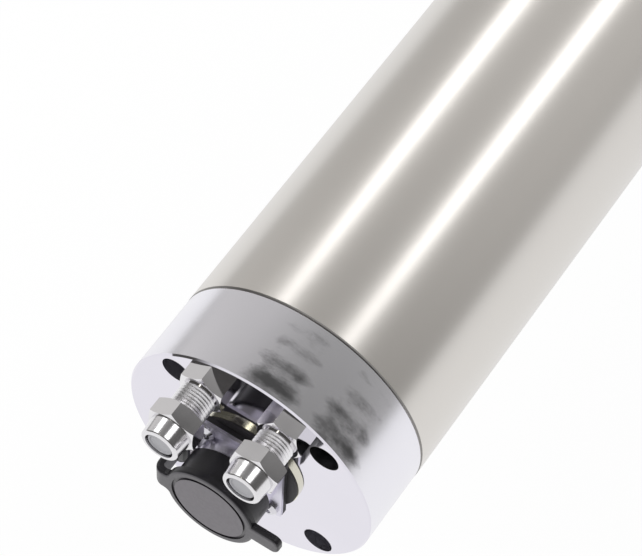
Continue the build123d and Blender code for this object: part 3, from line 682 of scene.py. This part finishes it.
@dataclass
class DustCap(Assembly):
    """Hinged dust cap, its seal and its pin."""

    finishes: dict[str, Finish] = field(
        default_factory=lambda: {
            "dust_cap": CAP_PLASTIC,
            "dust_cap_seal": BLACK_RUBBER,
            "dust_cap_pin": BRIGHT_STEEL,
        }
    )
    face_slope: float = 0.8
    disc_radius: float = 0.0113
    mouth_depth: float = 0.0002

    def barrel_axis(self) -> tuple[float, float]:
        """Find the axis of the connector's barrel from its mouth.

        Returns:
            Where the axis lies, across and up.
        """
        points = [vertex.co for vertex in self.nodes["connector_shell"].data.vertices]
        mouth = min(point.y for point in points) + self.mouth_depth
        ring = [point for point in points if point.y < mouth]
        across = (min(point.x for point in ring) + max(point.x for point in ring)) / 2
        up = (min(point.z for point in ring) + max(point.z for point in ring)) / 2
        return across, up

    def dress(self) -> None:
        """Dress the dust cap and give its disc and rim lighter, glossier copies of its plastic:
        painted light on the faces turned to -Y.
        """
        super().dress()
        lid = self.nodes["dust_cap"]
        across, up = self.barrel_axis()
        lid.data.materials.append(CAP_LIT_RIM.material())
        lid.data.materials.append(CAP_LIT_FACE.material())
        # Faces turned to -Y get the lighter copies: painted light.
        for polygon in lid.data.polygons:
            if polygon.normal.y < -self.face_slope:
                away = math.hypot(polygon.center.x - across, polygon.center.z - up)
                polygon.material_index = 2 if away < self.disc_radius else 1


@dataclass
class CoolantFittings(Assembly):
    """The two coolant fittings with their nuts, ferrules, plugs and seals."""

    thread_start: float = -0.1368
    tail_length: float = 0.0056

    def soften_tail(self, nut: bpy.types.Object) -> None:
        """Give the tapered tail of a nut its softer plating.

        Args:
            nut: The compression nut.
        """
        nut.data.materials.append(TAIL_NICKEL.material())
        end = min(vertex.co.y for vertex in nut.data.vertices)
        for polygon in nut.data.polygons:
            if polygon.center.y < end + self.tail_length:
                polygon.material_index = 1

    def plate_thread(self, body: bpy.types.Object) -> None:
        """Give the flanks of a fitting's thread their softer plating.

        Args:
            body: The fitting's body.
        """
        body.data.materials.append(THREAD_NICKEL.material())
        for polygon in body.data.polygons:
            if polygon.center.y < self.thread_start and is_sloped(polygon):
                polygon.material_index = 1

    def dress(self) -> None:
        """Dress both fittings alike."""
        for side in ("left", "right"):
            self.coat((f"{side}_fitting_body", f"{side}_compression_nut"), MIRROR_NICKEL)
            self.plate_thread(self.nodes[f"{side}_fitting_body"])
            self.soften_tail(self.nodes[f"{side}_compression_nut"])
            self.coat((f"{side}_ferrule",), PLATED_BRASS)
            self.coat((f"{side}_port_plug",), PALE_PLASTIC)
        self.coat(("port_seals",), BLACK_RUBBER)


@dataclass(frozen=True)
class StripLight:
    """A long soft lamp that lies along the spindle."""

    name: str
    bearing: float
    distance: float = 1.16
    width: float = 0.20
    start: float = 0.50
    end: float = 1.9
    radiance: float = 3.2
    colour: Colour = (1.0, 1.0, 1.0)
    dark: str = ""

    def shade(self, holder: bpy.types.Object) -> None:
        """Keep the lamp off one piece, as a flag in front of it would.

        Args:
            holder: The lamp's object.
        """
        flag = bpy.data.collections.new(f"{self.name}_flag")
        flag.objects.link(bpy.data.objects[self.dark])
        flag.collection_objects[0].light_linking.link_state = "EXCLUDE"
        holder.light_linking.receiver_collection = flag

    def place(self) -> None:
        """Make the lamp and turn it to the axis."""
        length = self.end - self.start
        lamp = bpy.data.lights.new(self.name, "AREA")
        lamp.shape = "RECTANGLE"
        lamp.size = self.width
        lamp.size_y = length
        lamp.color = self.colour
        lamp.energy = self.radiance * math.pi * self.width * length
        holder = bpy.data.objects.new(self.name, lamp)
        bpy.context.scene.collection.objects.link(holder)
        angle = math.radians(self.bearing)
        out = Vector((math.cos(angle), 0.0, math.sin(angle)))
        along = Vector((0.0, 1.0, 0.0))
        side = along.cross(out)
        middle = out * self.distance + along * (self.start + length / 2)
        turn = Matrix((side, along, out)).transposed().to_4x4()
        holder.matrix_world = Matrix.Translation(middle) @ turn
        holder.visible_camera = False
        if self.dark:
            self.shade(holder)


@dataclass
class Studio:
    """Floor, tent, lamps, backdrop and camera."""

    floor_drop: float = 0.22
    floor_size: float = 12.0
    tent_radius: float = 1.2
    tent_length: float = 5.0
    tent_panels: int = 48
    tent_sweep: float = math.radians(190.0)
    cloth_tint: Colour = (1.0, 0.985, 0.965)
    front: tuple[float, float] = (-0.20, -0.55)
    front_cloth: Colour = (0.085, 0.083, 0.075)
    entrance: tuple[float, float] = (-1.1, -1.5)
    entrance_cloth: Colour = (0.95, 0.95, 0.95)
    middle: tuple[float, float] = (0.50, 0.36)
    rear_levels: tuple[tuple[float, float], ...] = (
        (0.0, 0.58), (0.04, 0.60), (0.14, 0.74), (0.25, 0.68), (0.40, 0.64), (0.52, 0.68),
        (0.70, 0.66), (0.83, 0.60), (0.94, 0.56), (1.0, 0.58),
    )
    middle_levels: tuple[tuple[float, float], ...] = (
        (0.0, 0.40), (0.03, 0.11), (0.28, 0.11), (0.36, 0.16), (0.50, 0.20), (0.68, 0.34),
        (0.88, 0.70), (1.0, 0.72),
    )
    camera_place: Vector = field(default_factory=lambda: Vector((0.19795, -0.4380, 0.66908)))
    camera_ahead: Vector = field(default_factory=lambda: Vector((-0.26947, 0.4632, -0.84433)))
    camera_up: Vector = field(default_factory=lambda: Vector((-0.0419, 0.0, 0.9991)))
    lens: float = 154.97
    sensor: float = 36.0
    clip_start: float = 0.01
    ambient: float = 0.65
    floor_colour: Colour = (0.9, 0.9, 0.9)
    floor_glow: float = 0.9
    right_bearing: float = 67.0
    left_bearing: float = 130.0
    warm_bearing: float = 106.0
    flagged: str = "rear_cap"
    fill_size: float = 1.2
    fill_energy: float = 9.0
    fill_place: tuple[float, float, float] = (-0.5, -0.9, 1.1)
    fill_aim: tuple[float, float, float] = (0.0, -0.1, 0.0)

    def shown_directly(self, tree: bpy.types.NodeTree) -> bpy.types.NodeSocket:
        """Light that reaches the camera straight, by a mirror or through glass.

        Args:
            tree: The node tree that gets the nodes.

        Returns:
            A socket that is 1 for those rays and 0 for the others.
        """
        rays = tree.nodes.new("ShaderNodeLightPath").outputs
        seen = maths(tree, "MAXIMUM", rays["Is Camera Ray"], rays["Is Glossy Ray"])
        return maths(tree, "MAXIMUM", seen, rays["Is Transmission Ray"])

    def build_world(self) -> None:
        """White backdrop with a soft ambient light."""
        world = bpy.data.worlds.new("studio")
        world.use_nodes = True
        tree = world.node_tree
        background = tree.nodes["Background"]
        background.inputs["Color"].default_value = (1.0, 1.0, 1.0, 1.0)
        strength = tree.nodes.new("ShaderNodeMapRange")
        strength.inputs["To Min"].default_value = self.ambient
        strength.inputs["To Max"].default_value = 1.0
        tree.links.new(self.shown_directly(tree), strength.inputs["Value"])
        tree.links.new(strength.outputs["Result"], background.inputs["Strength"])
        bpy.context.scene.world = world

    def build_floor(self) -> None:
        """Pale floor below the spindle."""
        half = self.floor_size / 2
        mesh = bpy.data.meshes.new("floor")
        corners = [(-half, -half), (half, -half), (half, half), (-half, half)]
        mesh.from_pydata([(x, y, -self.floor_drop) for x, y in corners], [], [(0, 1, 2, 3)])
        floor = bpy.data.objects.new("floor", mesh)
        bpy.context.scene.collection.objects.link(floor)
        material = bpy.data.materials.new("pale_floor")
        material.use_nodes = True
        tree = material.node_tree
        tree.nodes.clear()
        out = tree.nodes.new("ShaderNodeOutputMaterial")
        matt = add_node(tree, "ShaderNodeBsdfDiffuse", Color=(*self.floor_colour, 1.0))
        glow = add_node(tree, "ShaderNodeEmission", Color=(1.0, 1.0, 1.0, 1.0), Strength=1.0)
        share = maths(tree, "MULTIPLY", self.shown_directly(tree), self.floor_glow)
        mix = tree.nodes.new("ShaderNodeMixShader")
        tree.links.new(share, mix.inputs["Fac"])
        tree.links.new(matt.outputs["BSDF"], mix.inputs[1])
        tree.links.new(glow.outputs["Emission"], mix.inputs[2])
        tree.links.new(mix.outputs["Shader"], out.inputs["Surface"])
        mesh.materials.append(material)

    def cloth_ramp(
        self,
        tree: bpy.types.NodeTree,
        bearing: bpy.types.NodeSocket,
        levels: tuple[tuple[float, float], ...],
    ) -> bpy.types.NodeSocket:
        """Brightness of the tent's cloth round the spindle.

        Args:
            tree: The node tree that gets the nodes.
            bearing: The bearing as a share of the half turn from right to left.
            levels: Places on that half turn and the cloth's brightness there.

        Returns:
            The socket that carries the colour.
        """
        ramp = tree.nodes.new("ShaderNodeValToRGB")
        ramp.color_ramp.interpolation = "B_SPLINE"
        for position, _ in levels[1:-1]:
            ramp.color_ramp.elements.new(position)
        for element, (position, level) in zip(ramp.color_ramp.elements, levels):
            element.position = position
            element.color = (*(level * tint for tint in self.cloth_tint), 1.0)
        tree.links.new(bearing, ramp.inputs["Fac"])
        return ramp.outputs["Color"]

    def cloth_blend(
        self,
        tree: bpy.types.NodeTree,
        along: bpy.types.NodeSocket,
        stretch: tuple[float, float],
        near: bpy.types.NodeSocket | Colour,
        far: bpy.types.NodeSocket,
    ) -> bpy.types.NodeSocket:
        """Change from one cloth to another along the tent.

        Args:
            tree: The node tree that gets the nodes.
            along: The place along the tent.
            stretch: Where the far cloth ends and where the near cloth begins.
            near: The cloth past the stretch.
            far: The cloth before it.

        Returns:
            The socket that carries the colour.
        """
        share = tree.nodes.new("ShaderNodeMapRange")
        share.inputs["From Min"].default_value = stretch[0]
        share.inputs["From Max"].default_value = stretch[1]
        tree.links.new(along, share.inputs["Value"])
        return tinted(tree, share.outputs["Result"], far, near)

    def tent_material(self) -> bpy.types.Material:
        """Make the tent's cloth, with its own shades round and along the spindle.

        Returns:
            The new material.
        """
        material = bpy.data.materials.new("tent_cloth")
        material.use_nodes = True
        tree = material.node_tree
        tree.nodes.clear()
        out = tree.nodes.new("ShaderNodeOutputMaterial")
        glow = tree.nodes.new("ShaderNodeEmission")
        place = tree.nodes.new("ShaderNodeTexCoord")
        split = tree.nodes.new("ShaderNodeSeparateXYZ")
        tree.links.new(place.outputs["Object"], split.inputs["Vector"])
        turn = maths(tree, "ARCTAN2", split.outputs["Z"], split.outputs["X"])
        bearing = maths(tree, "DIVIDE", turn, math.pi)
        rear = self.cloth_ramp(tree, bearing, self.rear_levels)
        middle = self.cloth_ramp(tree, bearing, self.middle_levels)
        along = split.outputs["Y"]
        cloth = self.cloth_blend(tree, along, self.middle, middle, rear)
        cloth = self.cloth_blend(tree, along, self.front, self.front_cloth, cloth)
        cloth = self.cloth_blend(tree, along, self.entrance, self.entrance_cloth, cloth)
        tree.links.new(cloth, glow.inputs["Color"])
        tree.links.new(glow.outputs["Emission"], out.inputs["Surface"])
        return material

    def build_tent(self) -> None:
        """Tent a little over half round, above the spindle, that only glossy rays see."""
        points: list[tuple[float, float, float]] = []
        faces: list[tuple[int, int, int, int]] = []
        for k in range(self.tent_panels + 1):
            angle = self.tent_sweep * k / self.tent_panels
            x = self.tent_radius * math.cos(angle)
            z = self.tent_radius * math.sin(angle)
            points += [(x, -self.tent_length / 2, z), (x, self.tent_length / 2, z)]
        for k in range(self.tent_panels):
            faces.append((2 * k, 2 * k + 1, 2 * k + 3, 2 * k + 2))
        mesh = bpy.data.meshes.new("tent")
        mesh.from_pydata(points, [], faces)
        mesh.materials.append(self.tent_material())
        tent = bpy.data.objects.new("tent", mesh)
        bpy.context.scene.collection.objects.link(tent)
        tent.visible_camera = False
        tent.visible_diffuse = False
        tent.visible_shadow = False
        tent.visible_transmission = False

    def build_lamps(self) -> None:
        """Strips along the spindle, a small warm lamp and a soft fill for what doesn't shine."""
        StripLight("right_strip", self.right_bearing, dark=self.flagged).place()
        StripLight("left_strip", self.left_bearing, width=0.22, dark=self.flagged).place()
        for side, bearing in (("right", self.right_bearing), ("left", self.left_bearing)):
            StripLight(
                f"{side}_front_strip",
                bearing,
                width=0.5,
                start=-0.10,
                end=0.16,
                radiance=2.6,
                dark=self.flagged,
            ).place()
        StripLight(
            "warm_lamp",
            self.warm_bearing,
            width=0.16,
            start=-0.72,
            end=-0.56,
            radiance=3.0,
            colour=(1.0, 0.98, 0.84),
        ).place()
        fill = bpy.data.lights.new("fill", "AREA")
        fill.shape = "DISK"
        fill.size = self.fill_size
        fill.energy = self.fill_energy
        holder = bpy.data.objects.new("fill", fill)
        bpy.context.scene.collection.objects.link(holder)
        holder.location = self.fill_place
        aim = Vector(self.fill_aim) - holder.location
        holder.rotation_euler = aim.to_track_quat("-Z", "Y").to_euler()
        holder.visible_camera = False
        holder.visible_glossy = False

    def build_camera(self) -> None:
        """Camera at the viewing angle, looking down on the rear end."""
        camera = bpy.data.cameras.new("camera")
        camera.lens = self.lens
        camera.sensor_width = self.sensor
        camera.sensor_fit = "HORIZONTAL"
        camera.clip_start = self.clip_start
        ahead = self.camera_ahead.normalized()
        right = ahead.cross(self.camera_up).normalized()
        up = right.cross(ahead)
        holder = bpy.data.objects.new("camera", camera)
        bpy.context.scene.collection.objects.link(holder)
        turn = Matrix((right, up, -ahead)).transposed().to_4x4()
        holder.matrix_world = Matrix.Translation(self.camera_place) @ turn
        bpy.context.scene.camera = holder

    def build(self) -> None:
        """Set up everything round the object."""
        bpy.context.scene.view_settings.view_transform = "Standard"
        self.build_camera()
        self.build_world()
        self.build_floor()
        self.build_tent()
        self.build_lamps()


def main() -> None:
    """Load the frame, dress each sub-assembly and set the studio."""
    logging.basicConfig(level=logging.INFO, format="%(name)s: %(message)s")
    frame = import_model()
    Studio().build()
    nodes = frame["nodes"]
    for assembly in (Body, DriveLine, ToolHolder, Connector, DustCap, CoolantFittings):
        assembly(nodes).dress()


if __name__ == "__main__":
    main()
